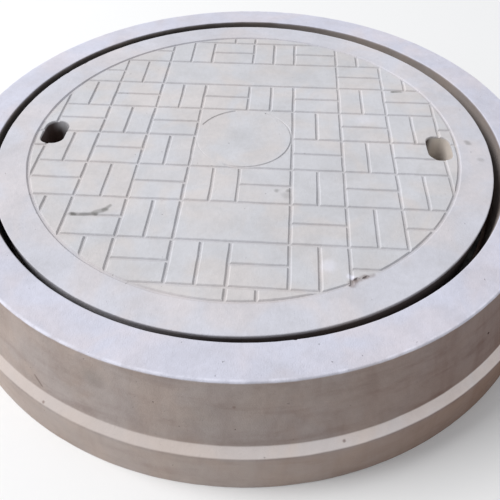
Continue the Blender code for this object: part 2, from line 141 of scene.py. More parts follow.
class CastingColours(bpy.types.PropertyGroup):
    """Colours of the concrete, steel and rubber"""

    top: colour("Top", "Concrete of the upper faces", srgb(218, 218, 230))
    border: colour("Border", "Concrete of the cover's plain border", srgb(213, 212, 218))
    tread: colour("Tread", "Concrete of the patterned field", srgb(211, 210, 212))
    # A tenth of it is the painted shade in the frame's recess
    side: colour("Side", "Concrete of the frame's outside", srgb(180, 168, 161))
    # Real soiling; it also stands for painted shade on the frame's right side, and darker copies of it for painted
    # shade on the cover's side and in the lifting holes
    earth_and_shade: colour("Earth", "Soiling low down and in the grooves", srgb(104, 74, 63))
    # Near-white partly as painted light on the upward-facing ledge
    ledge: colour("Ledge", "Concrete of the sloping ledge", srgb(253, 244, 240))
    # Real grey stains; it also tints the painted shade deep in a lifting hole
    moss_and_shade: colour("Moss", "Old grey stains", srgb(94, 92, 87))
    steel: colour("Steel", "Bare steel of the lifting bars", srgb(138, 132, 126))
    rust: colour("Rust", "Rust on the reinforcement", srgb(116, 66, 38))
    rubber: colour("Rubber", "Bedding ring", srgb(38, 38, 40))
    mortar: colour("Mortar", "Spacer blocks", srgb(168, 164, 156))


class StageSettings(bpy.types.PropertyGroup):
    """Floor, lights and camera"""

    lens: FloatProperty(name="Lens", description="Focal length", default=41.18, unit="CAMERA")
    turn: bearing("Turn", "Camera's bearing about the frame's axis", math.radians(3.95))
    pitch: bearing("Pitch", "How far the camera looks down", math.radians(46.70))
    roll: bearing("Roll", "Camera's tilt", -0.0032)
    distance: length("Distance", "From the camera to its target", 0.7249)
    target: FloatVectorProperty(
        name="Target", description="Where the camera looks before the turn", default=(0.0049, -0.2499, 0.172),
        subtype="TRANSLATION",
    )
    key_power: FloatProperty(name="Key light", description="Power of the large light", default=850.0, unit="POWER")
    sky: FloatProperty(name="Sky", description="Strength of the even light", default=0.50, min=0.0)
    floor: colour("Floor", "Pale floor", (0.88, 0.88, 0.88))


# Selecting and shaping


def set_mode(mode):
    bpy.ops.object.mode_set(mode=mode)


def clear_selection():
    if bpy.context.mode != "OBJECT":
        set_mode("OBJECT")
    bpy.ops.object.select_all(action="DESELECT")


def only(obj):
    """Leaves one object selected and active, in object mode."""
    clear_selection()
    bpy.context.view_layer.objects.active = obj
    obj.select_set(True)


def added(name, primitive, **settings):
    """A new primitive of bpy.ops.mesh, with its place moved into its mesh."""
    clear_selection()
    primitive(**settings)
    obj = bpy.context.object
    obj.name = name
    only(obj)
    bpy.ops.object.transform_apply(location=True, rotation=True, scale=True)
    return obj


def linked(name, data=None):
    """A new object in the scene."""
    obj = bpy.data.objects.new(name, data)
    bpy.context.scene.collection.objects.link(obj)
    return obj


def pick(obj, where=None):
    """Opens a piece in edit mode with the points selected where where(place) is true, or all of them."""
    only(obj)
    set_mode("EDIT")
    bpy.ops.mesh.select_mode(type="VERT")
    bpy.ops.mesh.select_all(action="SELECT" if where is None else "DESELECT")
    if where is not None:
        set_mode("OBJECT")
        for vertex in obj.data.vertices:
            vertex.select = where(vertex.co)
        set_mode("EDIT")
        bpy.ops.mesh.select_mode(type="VERT")


def done(obj):
    set_mode("OBJECT")
    return obj


def stretch(scale, centre):
    bpy.ops.transform.resize(value=scale, center_override=centre)


def extrude(offset):
    bpy.ops.mesh.extrude_region_move(TRANSFORM_OT_translate={"value": offset})


def slice_through(obj, places, normal):
    """Adds a cut round a piece at each place, across the normal."""
    pick(obj)
    for place in places:
        bpy.ops.mesh.select_all(action="SELECT")
        bpy.ops.mesh.bisect(plane_co=place, plane_no=normal)
    return done(obj)


def discard(objects):
    for obj in objects:
        bpy.data.objects.remove(obj, do_unlink=True)


def apply_modifier(obj, modifier):
    only(obj)
    bpy.ops.object.modifier_apply(modifier=modifier.name)
    return obj


def carve(obj, cutters):
    """Cuts solids from a piece, and discards them."""
    group = bpy.data.collections.new("cutters")
    bpy.context.scene.collection.children.link(group)
    for cutter in cutters:
        group.objects.link(cutter)
    before = len(obj.data.vertices)
    cut = obj.modifiers.new("carve", "BOOLEAN")
    cut.operand_type = "COLLECTION"
    cut.collection = group
    cut.solver = "MANIFOLD"
    apply_modifier(obj, cut)
    if len(obj.data.vertices) == before:
        raise RuntimeError(f"nothing was cut from {obj.name}")
    discard(cutters)
    bpy.data.collections.remove(group)
    return obj


def uneven(obj, depth, size, direction="NORMAL", level=1.0, seed=0.0):
    """Moves a surface by a cloudy pattern: inwards only at a level of 1, both ways at 0.5."""
    clouds = bpy.data.textures.new(obj.name + "_clouds", "CLOUDS")
    clouds.noise_scale = size
    clouds.noise_depth = 3
    clouds.noise_basis = "IMPROVED_PERLIN"
    origin = linked("pattern_place")
    origin.location = (seed, seed, 0.0)
    wave = obj.modifiers.new("uneven", "DISPLACE")
    wave.texture = clouds
    wave.texture_coords = "OBJECT"
    wave.texture_coords_object = origin
    wave.direction = direction
    wave.strength = depth
    wave.mid_level = level
    bpy.context.view_layer.update()
    apply_modifier(obj, wave)
    discard([origin])
    bpy.data.textures.remove(clouds)
    return obj


def outline(name, points):
    """A closed wire in the XZ plane, drawn point by point from (radius, height) pairs."""
    first = (points[0][0], 0.0, points[0][1])
    obj = added(name, bpy.ops.mesh.primitive_plane_add, size=0.001, location=first)
    pick(obj)
    bpy.ops.mesh.merge(type="CENTER")
    for start, end in zip(points, points[1:]):
        extrude((end[0] - start[0], 0.0, end[1] - start[1]))
    bpy.ops.mesh.select_all(action="SELECT")
    bpy.ops.mesh.edge_face_add()
    bpy.ops.mesh.delete(type="ONLY_FACE")
    return done(obj)


def rounded(obj, radius, segments=3):
    """Rounds every corner of an outline."""
    pick(obj)
    bpy.ops.mesh.bevel(offset=radius, segments=segments, affect="VERTICES", offset_type="OFFSET")
    return done(obj)


def pick_edges(obj, where):
    """Opens a piece in edit mode with the edges that pass where(start, end) selected, and counts them."""
    only(obj)
    set_mode("EDIT")
    bpy.ops.mesh.select_mode(type="EDGE")
    bpy.ops.mesh.select_all(action="DESELECT")
    set_mode("OBJECT")
    points = obj.data.vertices
    for edge in obj.data.edges:
        edge.select = where(points[edge.vertices[0]].co, points[edge.vertices[1]].co)
    count = sum(edge.select for edge in obj.data.edges)
    set_mode("EDIT")
    return count


def divided(obj, longest):
    """Halves every edge that is longer than this, until none is."""
    while pick_edges(obj, lambda start, end: (start - end).length > longest):
        bpy.ops.mesh.subdivide(number_cuts=1)
    return done(obj)


def spun(obj, steps, centre=Vector((0.0, 0.0, 0.0))):
    """Turns an outline into a closed ring about an upright axis."""
    pick(obj)
    bpy.ops.transform.translate(value=centre)
    bpy.ops.mesh.spin(steps=steps, angle=FULL_TURN, center=centre, axis=UP)
    bpy.ops.mesh.select_all(action="SELECT")
    bpy.ops.mesh.remove_doubles(threshold=WELD)
    bpy.ops.mesh.normals_make_consistent(inside=False)
    return done(obj)


def smooth(obj, angle=32.0):
    """Smooth shading up to the angle, with flat faces kept flat."""
    only(obj)
    bpy.ops.object.shade_smooth_by_angle(angle=math.radians(angle), keep_sharp_edges=False)
    weigh = obj.modifiers.new("weigh", "WEIGHTED_NORMAL")
    weigh.keep_sharp = True
    return apply_modifier(obj, weigh)


def scattered(stone, places, name):
    """Copies of one small solid at (place, size, angle about Z), as cutters."""
    cutters = []
    for index, (place, size, angle) in enumerate(places):
        cutter = linked(f"{name}_{index}", stone.data.copy())
        turn = Euler((0.0, 0.0, angle)).to_matrix().to_4x4()
        cutter.matrix_world = Matrix.Translation(place) @ turn @ Matrix.Diagonal((*size, 1.0))
        cutters.append(cutter)
    return cutters


def pebble(name, roughen=0.16, seed=3):
    """A small uneven ball, the shape that a pit or a chip leaves."""
    obj = added(name, bpy.ops.mesh.primitive_ico_sphere_add, subdivisions=2, radius=1.0)
    pick(obj)
    bpy.ops.transform.vertex_random(offset=roughen, uniform=0.6, normal=0.5, seed=seed)
    return done(obj)


def polar(radius, angle, height):
    return Vector((radius * math.cos(angle), radius * math.sin(angle), height))


# Materials


class Value:
    """A shader value on which Python arithmetic adds Math nodes."""

    def __init__(self, shade, socket):
        self.shade = shade
        self.socket = socket

    def math(self, operation, *operands):
        return self.shade.add("ShaderNodeMath", {"operation": operation}, dict(enumerate(operands)))

    def __add__(self, other):
        return self.math("ADD", self, other)

    __radd__ = __add__

    def __sub__(self, other):
        return self.math("SUBTRACT", self, other)

    def __rsub__(self, other):
        return self.math("SUBTRACT", other, self)

    def __mul__(self, other):
        return self.math("MULTIPLY", self, other)

    def most(self, other):
        return self.math("MAXIMUM", self, other)

    def least(self, other):
        return self.math("MINIMUM", self, other)

    def band(self, low, high):
        """0 below low and 1 above high, with a smooth step between them."""
        settings = {"interpolation_type": "SMOOTHSTEP"}
        return self.shade.add("ShaderNodeMapRange", settings, {"Value": self, "From Min": low, "From Max": high})


class Shade:
    """The node tree of one material."""

    def __init__(self, name):
        self.material = bpy.data.materials.new(name)
        self.material.use_nodes = True
        self.tree = self.material.node_tree
        self.shader = self.tree.nodes["Principled BSDF"]

    def connect(self, node, key, value):
        if isinstance(value, Value):
            self.tree.links.new(value.socket, node.inputs[key])
        else:
            node.inputs[key].default_value = value

    def add(self, kind, settings=None, inputs=None, output=0):
        """Adds a node: its settings are made first, then its sockets get values or links."""
        node = self.tree.nodes.new(kind)
        for key, setting in (settings or {}).items():
            setattr(node, key, setting)
        for key, value in (inputs or {}).items():
            self.connect(node, key, value)
        return Value(self, node.outputs[output])

    def vector(self, operation, *operands, output=0):
        return self.add("ShaderNodeVectorMath", {"operation": operation}, dict(enumerate(operands)), output)

    def place(self, centre=(0.0, 0.0, 0.0), scale=(1.0, 1.0, 1.0)):
        """Where a point is on the piece, measured from the centre."""
        here = self.add("ShaderNodeTexCoord", output="Object")
        offset = tuple(-part * size for part, size in zip(centre, scale))
        return self.add("ShaderNodeMapping", None, {"Vector": here, "Location": offset, "Scale": scale})

    def split(self, vector):
        node = self.tree.nodes.new("ShaderNodeSeparateXYZ")
        self.connect(node, 0, vector)
        return [Value(self, node.outputs[axis]) for axis in "XYZ"]

    def noise(self, place, scale, detail=3.0, roughness=0.55, distortion=0.0, shift=0.0):
        if shift:
            place = self.vector("ADD", place, (shift, shift, shift))
        inputs = {"Vector": place, "Scale": scale, "Detail": detail}
        inputs |= {"Roughness": roughness, "Distortion": distortion}
        return self.add("ShaderNodeTexNoise", None, inputs)

    def mix(self, factor, first, second):
        """A colour between two, the first where the factor is 0."""
        settings = {"data_type": "RGBA", "clamp_factor": True}
        inputs = {0: factor, 6: self.rgba(first), 7: self.rgba(second)}
        return self.add("ShaderNodeMix", settings, inputs, output=2)

    def layers(self, hue, coats):
        """A colour under coats, each given as how much of it shows and its colour."""
        for share, paint in coats:
            hue = self.mix(share, hue, paint)
        return hue

    @staticmethod
    def rgba(value):
        return value if isinstance(value, Value) else (*value, 1.0)

    def spot(self, place, middle, radius, softness):
        """1 within the radius of a point, falling to 0 over the softness."""
        away = self.vector("DISTANCE", place, middle, output="Value")
        return 1.0 - away.band(radius, radius + softness)

    def stroke(self, place, start, end, width, softness):
        """1 along a line between two points, falling to 0 over the softness."""
        run = Vector(end) - Vector(start)
        heading = tuple(run.normalized())
        from_start = self.vector("SUBTRACT", place, tuple(start))
        along = self.vector("DOT_PRODUCT", from_start, heading, output="Value")
        along = along.most(0.0).least(run.length)
        foot = self.add("ShaderNodeVectorMath", {"operation": "SCALE"}, {0: heading, "Scale": along})
        away = self.vector("DISTANCE", from_start, foot, output="Value")
        return 1.0 - away.band(width / 2, width / 2 + softness)

    def bump(self, height, depth):
        """The normal of a surface that rises by the depth where the height is 1."""
        return self.add("ShaderNodeBump", None, {"Height": height, "Distance": depth, "Strength": 1.0})

    def finish(self, **inputs):
        """Sets the shader's sockets, whose names are given with _ for a space."""
        for key, value in inputs.items():
            if isinstance(value, tuple) and len(value) == 3:
                value = (*value, 1.0)
            self.connect(self.shader, key.replace("_", " "), value)
        return self.material


def dress(obj, material):
    """Gives a piece one material."""
    obj.data.materials.clear()
    obj.data.materials.append(material)
    return obj


# How a casting's colour drifts from place to place, as gains on red, green and blue
WARMER = (1.02, 0.975, 0.955)
COOLER = (0.975, 0.99, 1.03)


def dimmed(hue, share):
    """A colour at a share of its strength, or stronger but never past white."""
    return tuple(min(1.0, part * share) for part in hue)


def weathered(shade, place, base, contrast):
    """Concrete with broad clouds, patches and sand grain. Returns its colour and its height."""
    broad = shade.noise(place, 5.5, 5.0, 0.6, 0.4)
    patch = shade.noise(place, 24.0, 5.0, 0.62, 0.3, shift=2.3)
    fine = shade.noise(place, 130.0, 4.0, 0.65, shift=5.1)
    sand = shade.noise(place, 620.0, 2.0, 0.6, shift=7.7)
    tint = shade.noise(place, 13.0, 3.0, 0.5, 0.6, shift=9.4)
    drifts = [tuple(part * gain for part, gain in zip(base, gains)) for gains in (WARMER, COOLER)]
    hue = shade.mix(tint.band(0.36, 0.64), *drifts)
    dull = broad.band(0.34, 0.68) * 0.35 + patch.band(0.35, 0.70) * 0.35 + fine.band(0.3, 0.75) * 0.2
    hue = shade.mix((dull + sand.band(0.35, 0.7) * 0.12) * contrast, hue, dimmed(base, 0.66))
    height = patch * 0.30 + fine * 0.45 + sand * 0.25
    return hue, height


def mark_coats(shade, place, marks, paint):
    """Coats of one paint, as strokes between two points or spots about one."""
    coats = []
    for *points, width, softness, strength in marks:
        shape = shade.stroke if len(points) == 2 else shade.spot
        mask = shape(place, *((*point, 0.0) for point in points), width, softness)
        coats.append((mask * strength, paint))
    return coats


def hole_coats(shade, spots, hole, shade_share, shade_end, sizes, looks):
    """Coats inside a lifting hole, all painted light and shade: painted shade on its side away from the light and
    deep down, as strong as its share, and a painted lit wall as that share falls to 0.
    """
    flat, x, z = spots
    long = sizes.hole_length
    shade_dark = dimmed(looks.earth_and_shade, 0.30)
    near = shade.spot(flat, (hole.x, hole.y, 0.0), sizes.hole_width * 0.66, 0.002)
    near_lip = near * (1.0 - z.band(COVER_TOP - 0.0055, COVER_TOP - 0.0015))
    deep_shade = near * (1.0 - z.band(COVER_TOP - 0.024, COVER_TOP - 0.006)) * shade_share
    shaded_side = 1.0 - x.band(hole.x - long * 0.40, hole.x + long * shade_end)
    lit_end = x.band(hole.x, hole.x + long * 0.40)
    far_side = x.band(hole.x - long * 0.10, hole.x + long * 0.14)
    return [
        (near_lip * shaded_side * 0.95, shade_dark),
        (deep_shade * (1.0 - far_side * 0.86), shade_dark),
        (deep_shade * far_side * 0.30, looks.moss_and_shade),
        (near_lip * (1.0 - shaded_side) * (1.0 - shade_share) * 0.9, PAINTED_LIT_HOLE),
        (near_lip * lit_end * (1.0 - shade_share) * 0.5, looks.side),
    ]


def cover_concrete(looks, sizes):
    """The cover's concrete: pale and faintly tinted, soil in the grooves, stains on the tread; painted shade on
    its side, painted light and shade in the lifting holes, and one painted highlight beside the scar.
    """
    shade = Shade("cover_cast_concrete")
    place = shade.place(COVER_CENTRE)
    x, _, z = shade.split(place)
    flat = shade.vector("MULTIPLY", place, (1.0, 1.0, 0.0))
    out = shade.vector("LENGTH", flat, output="Value")
    border = COVER_RADIUS - sizes.border_margin
    hue, height = weathered(shade, place, looks.border, 0.62)
    field, _ = weathered(shade, place, looks.tread, 0.6)
    ragged = shade.noise(place, 90.0, 4.0, 0.7, shift=1.7)
    sunk = 1.0 - z.band(COVER_TOP - sizes.groove_depth, COVER_TOP - 0.0006)
    # Painted shade on the cover's side below the top, in the gap under the frame's rim; lit_front eases it at the
    # front left, where the light falls
    side = 1.0 - z.band(COVER_TOP - 0.0075, COVER_TOP - 0.0022)
    lit_front = x.band(-0.36, -0.28) * (1.0 - x.band(-0.14, 0.02))
    outside = side * out.band(COVER_RADIUS - 0.03, COVER_RADIUS - 0.02)
    coats = [
        (1.0 - out.band(border - FIELD_BLEND, border + FIELD_BLEND), field),
        (sunk * (0.02 + ragged * 0.14), looks.earth_and_shade),
        # painted shade on the cover's side
        (outside * (0.86 - lit_front * 0.62), dimmed(looks.earth_and_shade, 0.30)),
    ]
    # Painted light and shade inside the lifting holes
    for word, shade_share, shade_end in HOLE_SHADE:
        hole = hole_middle(sizes, word) - COVER_CENTRE
        coats += hole_coats(shade, (flat, x, z), hole, shade_share, shade_end, sizes, looks)
    speck = shade.noise(place, 210.0, 1.0, 0.5, shift=3.3).band(0.775, 0.84)
    coats.append((speck * 0.25, dimmed(looks.side, 0.35)))
    drift = shade.add("ShaderNodeTexNoise", None, {"Vector": flat, "Scale": 55.0, "Detail": 4.0}, output="Color")
    wander = shade.vector("MULTIPLY", shade.vector("SUBTRACT", drift, (0.5, 0.5, 0.5)), (0.009, 0.009, 0.0))
    rough_place = shade.vector("ADD", flat, wander)
    # Stains, the scar and pale spots, one of them a painted highlight
    for marks, paint in (
        (STAIN_STROKES, looks.moss_and_shade),
        (SCAR_STROKES, dimmed(looks.earth_and_shade, 0.8)),
        (STAIN_SPOTS, looks.moss_and_shade),
        (PALE_SPOTS_AND_HIGHLIGHT, dimmed(looks.top, 1.16)),
    ):
        coats += mark_coats(shade, rough_place, marks, paint)
    return shade.finish(
        Base_Color=shade.layers(hue, coats), Roughness=0.84 + ragged * 0.12,
        Normal=shade.bump(height - speck * 0.5, 0.0011),
    )


def frame_concrete(looks, sizes):
    """The frame's concrete: pale on top and on the ledge, browner and streaked on its sides. Painted shade browns
    its right side, darkens the recess and the foot on the right; painted light pales the ledge and the foot on the
    left, and partly the outer arris.
    """
    shade = Shade("frame_cast_concrete")
    place = shade.place()
    x, _, z = shade.split(place)
    out = shade.vector("LENGTH", shade.vector("MULTIPLY", place, (1.0, 1.0, 0.0)), output="Value")
    top, height = weathered(shade, place, looks.top, 0.62)
    bare_wall, _ = weathered(shade, place, looks.side, 0.7)
    # The ledge's near-white is partly painted light on its upward slope, and it is darker towards the left as
    # painted shade that evens out the light falling from there
    ledge_and_painted_light, _ = weathered(shade, place, looks.ledge, 0.3)
    ledge_and_painted_light = shade.mix((1.0 - x.band(-0.15, 0.34)) * 0.74, ledge_and_painted_light, looks.side)
    streaky = shade.noise(shade.place(scale=(1.0, 1.0, 0.22)), 30.0, 5.0, 0.62, 0.3, shift=4.2)
    level = shade.noise(shade.place(scale=(0.35, 0.35, 1.6)), 34.0, 4.0, 0.6, 0.2, shift=6.1)
    soil_and_painted_shade = streaky.band(0.40, 0.74) * 0.16 + level.band(0.45, 0.75) * 0.20
    # Browner towards the right: painted shade on the side away from the light, over the streaks of real soiling
    soil_and_painted_shade = soil_and_painted_shade + x.band(-0.06, 0.50) * 0.74 + 0.05
    low = sizes.ledge_level
    foot = 1.0 - z.band(low - 0.006, low - 0.001)
    # Painted light on the foot on the left and painted shade on it on the right, as the light falls from the left
    shaded_right = x.band(-0.10, 0.40)
    worn = shade.noise(place, 60.0, 3.0, 0.6, shift=8.8)
    on_ledge = z.band(low - 0.001, low + 0.001) * (1.0 - z.band(low + 0.0085, low + 0.0105))
    on_ledge = on_ledge * out.band(sizes.wall_foot - 0.002, sizes.wall_foot)
    edge = z.band(FRAME_TOP - 0.0045, FRAME_TOP - 0.0020)
    # A paler line along the outer arris: wear, with a painted highlight where the light catches the edge
    arris = edge * out.band(sizes.rim_radius - 0.0045, sizes.rim_radius - 0.0015)
    # Painted shade on the recess wall in the gap round the cover, below the top band: the bare wall colour goes
    # back on first, then darkens, less on the right where lit_side says the light reaches
    inside = 1.0 - out.band(sizes.recess_top - 0.0002, sizes.recess_top + 0.0012)
    inside = inside * z.band(FRAME_TOP - RECESS_DARK_END, FRAME_TOP - RECESS_DARK)
    lit_side = x.band(-0.20, 0.20)
    scratch = shade.stroke(place, *WALL_SCRATCH, 0.0010, 0.0026)
    pits = [(shade.spot(place, *pit, 0.0024) * strength, looks.earth_and_shade) for *pit, strength in WALL_PITS]
    speck = shade.noise(place, 190.0, 1.0, 0.5, shift=3.9).band(0.775, 0.84)
    coats = [
        (soil_and_painted_shade, looks.earth_and_shade),
        # painted light and shade on the foot
        (foot * (1.0 - shaded_right) * 0.15, PAINTED_LIT_FOOT),
        (foot * shaded_right * 0.30, PAINTED_SHADED_FOOT),
        # the ledge, partly painted light
        (on_ledge * (0.8 + worn * 0.2), ledge_and_painted_light),
        (edge * (0.85 + worn * 0.15), top),
        # wear and a painted highlight on the outer arris
        (arris * worn.band(0.34, 0.62) * 0.5, dimmed(looks.top, 1.22)),
        # painted shade in the recess
        (inside, bare_wall),
        (inside * (0.98 - lit_side * 0.60), dimmed(looks.side, 0.10)),
        (scratch * 0.46, dimmed(looks.earth_and_shade, 0.4)),
        *pits,
        (shade.spot(place, MOSSY_PATCH, 0.003, 0.018) * 0.22, looks.moss_and_shade),
        (speck * 0.25, dimmed(looks.side, 0.3)),
    ]
    return shade.finish(
        Base_Color=shade.layers(bare_wall, coats), Roughness=0.84 + worn * 0.12,
        Normal=shade.bump(height - speck * 0.6, 0.0013),
    )


def rusty_steel(name, looks, bare):
    """Steel bar with mill scale and rust, brighter where it is handled."""
    shade = Shade(name)
    place = shade.place()
    blotch = shade.noise(place, 42.0, 5.0, 0.65, 0.5)
    fine = shade.noise(place, 420.0, 4.0, 0.7, shift=2.2)
    rust = (blotch.band(0.34, 0.62) * 0.7 + fine.band(0.4, 0.7) * 0.4).least(1.0)
    shown = rust * (1.0 - bare) + (1.0 - bare) * 0.35
    scale = shade.mix(fine.band(0.35, 0.7), dimmed(looks.rust, 0.45), looks.rust)
    hue = shade.mix(shown, looks.steel, scale)
    return shade.finish(
        Base_Color=hue, Roughness=0.38 + shown * 0.45, Metallic=1.0 - shown, Normal=shade.bump(fine, 0.0004)
    )


def dusty_rubber(looks):
    """Black rubber with a bloom of cement dust."""
    shade = Shade("bedding_rubber")
    place = shade.place()
    dust = shade.noise(place, 36.0, 5.0, 0.65, 0.4)
    fine = shade.noise(place, 500.0, 3.0, 0.6, shift=3.0)
    bloom = dust.band(0.45, 0.72) * 0.35 + fine.band(0.5, 0.75) * 0.12
    hue = shade.mix(bloom, looks.rubber, looks.mortar)
    return shade.finish(Base_Color=hue, Roughness=0.62 + bloom * 0.3, Normal=shade.bump(fine, 0.0002))


def spacer_mortar(looks):
    """Grey sanded mortar of the spacer blocks."""
    shade = Shade("spacer_mortar")
    place = shade.place()
    hue, height = weathered(shade, place, looks.mortar, 0.8)
    grit = shade.noise(place, 340.0, 2.0, 0.6, shift=1.1).band(0.6, 0.72)
    hue = shade.mix(grit * 0.5, hue, dimmed(looks.mortar, 0.4))
    return shade.finish(Base_Color=hue, Roughness=0.93, Normal=shade.bump(height - grit * 0.4, 0.001))


# How far below the top the recess wall has painted shade, and where that has faded out
RECESS_DARK = 0.040
RECESS_DARK_END = 0.060
# Colours that the properties don't hold
# Painted light on a lifting hole's lit wall
PAINTED_LIT_HOLE = srgb(240, 230, 218)
# Painted light and painted shade for the frame's foot, left and right
PAINTED_LIT_FOOT = srgb(216, 196, 182)
PAINTED_SHADED_FOOT = srgb(140, 104, 72)
# Half the width over which the patterned field's colour turns into the border's
FIELD_BLEND = 0.004
# Each lifting hole: how strong its painted shade deep down is, where 0 paints its wall lit instead, and where its
# shaded side ends as a share of its length
HOLE_SHADE = (("left", 0.97, 0.06), ("right", 0.0, -0.04))
# Marks on the cover, measured from its middle: start, end, width, softness and strength
STAIN_STROKES = (
    ((-0.2205, -0.1896), (-0.2188, -0.1890), 0.0035, 0.0036, 0.52),
    ((-0.2210, -0.1894), (-0.1866, -0.1876), 0.0010, 0.0036, 0.50),
    ((-0.1890, -0.1860), (-0.1775, -0.1780), 0.0040, 0.0044, 0.46),
    ((-0.1790, -0.1790), (-0.1722, -0.1700), 0.0016, 0.0038, 0.50),
    ((0.2450, 0.1478), (0.2570, 0.1488), 0.0018, 0.0042, 0.80),
    ((0.3449, 0.0085), (0.3462, 0.0045), 0.0014, 0.0056, 0.42),
)
SCAR_STROKES = (
    ((0.1508, -0.2905), (0.1560, -0.2830), 0.0038, 0.0050, 0.42),
    ((0.1560, -0.2830), (0.1690, -0.2772), 0.0030, 0.0050, 0.40),
    ((0.1690, -0.2772), (0.1781, -0.2730), 0.0010, 0.0044, 0.32),
)
# Middle, radius, softness and strength
STAIN_SPOTS = (
    ((0.0554, -0.1230), 0.0010, 0.0044, 0.40),
    ((0.0712, -0.1245), 0.0010, 0.0036, 0.44),
    ((0.0690, -0.1335), 0.0020, 0.0090, 0.22),
    ((0.3568, -0.0351), 0.0015, 0.0060, 0.26),
    ((0.0000, 0.0000), 0.0100, 0.0300, 0.05),
)
# Pale spots; the second, beside the scar, is a painted highlight on the broken edge
PALE_SPOTS_AND_HIGHLIGHT = (
    ((0.1240, -0.2620), 0.0030, 0.0120, 0.4),
    ((0.1510, -0.2775), 0.0020, 0.0050, 0.7),
    ((0.1900, 0.0600), 0.0040, 0.0160, 0.2),
)


# Marks on the frame's outside, in the frame's own place: a scratch, then pits as middle, radius and strength
WALL_SCRATCH = ((-0.2295, -0.3990, 0.0915), (-0.2214, -0.4065, 0.0812))
WALL_PITS = (
    ((-0.2188, -0.4203, 0.0675), 0.0007, 0.60),
    ((0.1438, -0.4475, 0.0706), 0.0007, 0.66),
    ((0.0181, -0.4483, 0.1348), 0.0007, 0.50),
)
MOSSY_PATCH = (-0.1431, -0.4242, 0.1383)


# The cover's tread

BLANK_PANELS = ((-2, 2, 2, 3), (-1, -3, 1, -2))


def chord(radius, offset):
    """Half the length of the chord this far from a circle's middle, or 0 outside the circle."""
    return math.sqrt(max(radius**2 - offset**2, 0.0))


def without(spans, low, high):
    """The spans less the stretch from low to high."""
    kept = []
    for start, end in spans:
        kept += [(start, min(end, low)), (max(start, high), end)]
    return [(start, end) for start, end in kept if end > start]


def brick_spans(sizes, offset, along):
    """One brick length of a line at this offset, inside the border and outside the disc."""
    reach = chord(COVER_RADIUS - sizes.border_margin, offset)
    disc = chord(sizes.disc_radius, offset)
    start = max(along * sizes.brick, -reach)
    end = min((along + 1) * sizes.brick, reach)
    spans = without([(start, end)], -disc, disc) if disc else [(start, end)]
    return [(offset, low, high) for low, high in spans]


def brick_edge(sizes, across, along, panels):
    """The stretches of one grid line beside one brick that are grooved."""
    for low_across, low_along, high_across, high_along in panels:
        if low_across < across < high_across and low_along <= along < high_along:
            return []
    return brick_spans(sizes, across * sizes.brick, along)


def brick_middle(sizes, column, row):
    """The groove that halves one brick pair."""
    if any(u0 <= column < u1 and v0 <= row < v1 for u0, v0, u1, v1 in BLANK_PANELS):
        return []
    across, along = (column, row) if (column + row) % 2 else (row, column)
    return brick_spans(sizes, (across + 0.5) * sizes.brick, along)


def tread_grooves(sizes):
    """Every straight groove, brick by brick, as (runs along y, offset, start, end)."""
    grooves = []
    flipped = [(v0, u0, v1, u1) for u0, v0, u1, v1 in BLANK_PANELS]
    last = math.ceil((COVER_RADIUS - sizes.border_margin) / sizes.brick)
    for column in range(-last, last + 1):
        for row in range(-last, last):
            grooves += [(True, *span) for span in brick_edge(sizes, column, row, BLANK_PANELS)]
            grooves += [(False, *span) for span in brick_edge(sizes, column, row, flipped)]
            grooves += [((column + row) % 2 == 1, *span) for span in brick_middle(sizes, column, row)]
    return [groove for groove in grooves if groove[3] - groove[2] > 2 * sizes.groove_mouth]


def groove_steps(sizes):
    """A groove's section from its floor up, as (half width, height from the top)."""
    floor, mouth, depth = sizes.groove_floor / 2, sizes.groove_mouth / 2, sizes.groove_depth
    shoulder = floor + 0.55 * (mouth - floor)
    eased = 2 * mouth - shoulder
    return (floor, -depth), (shoulder, -0.3 * depth), (mouth, 0.0), (eased, 0.35 * depth)


def groove_cutter(sizes):
    """One brick length of groove along X: a bar that widens upwards, with cuts along it to bend at."""
    steps = groove_steps(sizes)
    half, low = steps[0]
    middle = (0.0, 0.0, COVER_TOP + (low + steps[1][1]) / 2)
    scale = (sizes.brick, 2 * half, steps[1][1] - low)
    cutter = added("groove_cutter", bpy.ops.mesh.primitive_cube_add, size=1.0, location=middle, scale=scale)
    for index, (wide, height) in enumerate(steps[1:], 1):
        level = COVER_TOP + steps[max(index - 1, 1)][1]
        pick(cutter, lambda place, level=level: place.z > level - WELD)
        if index > 1:
            extrude((0.0, 0.0, height - steps[index - 1][1]))
        before = steps[index - 1][0]
        along = (sizes.brick + 2 * (wide - half)) / (sizes.brick + 2 * (before - half))
        stretch((along, wide / before, 1.0), (0.0, 0.0, COVER_TOP + height))
        done(cutter)
    cuts = [Vector(((step / 8 - 0.5) * sizes.brick, 0.0, 0.0)) for step in range(1, 8)]
    return slice_through(cutter, cuts, (1.0, 0.0, 0.0))


def straight_grooves(sizes):
    """Cutters for every straight groove, bent a little as a worn mould leaves them."""
    source = groove_cutter(sizes)
    cutters = []
    for runs_along_y, offset, start, end in tread_grooves(sizes):
        cutter = linked("groove", source.data.copy())
        overrun = sizes.groove_floor / 2
        size = (end - start + 2 * overrun) / sizes.brick
        turn = Matrix.Rotation(math.pi / 2 if runs_along_y else 0.0, 4, "Z")
        along, across = (start + end) / 2, offset
        place = Vector((across, along, 0.0)) if runs_along_y else Vector((along, across, 0.0))
        scale = Matrix.Diagonal((size, 1.0, 1.0, 1.0))
        cutter.data.transform(Matrix.Translation(COVER_CENTRE + place) @ turn @ scale)
        cutters.append(cutter)
    discard([source])
    only(cutters[0])
    for cutter in cutters:
        cutter.select_set(True)
    bpy.ops.object.join()
    joined = bpy.context.object
    uneven(joined, 0.0022, 0.03, "X", 0.5, 0.4)
    uneven(joined, 0.0022, 0.03, "Y", 0.5, 1.9)
    uneven(joined, 0.0016, 0.09, "Z", 0.5, 3.1)
    pick(joined)
    bpy.ops.mesh.separate(type="LOOSE")
    set_mode("OBJECT")
    return list(bpy.context.selected_objects)


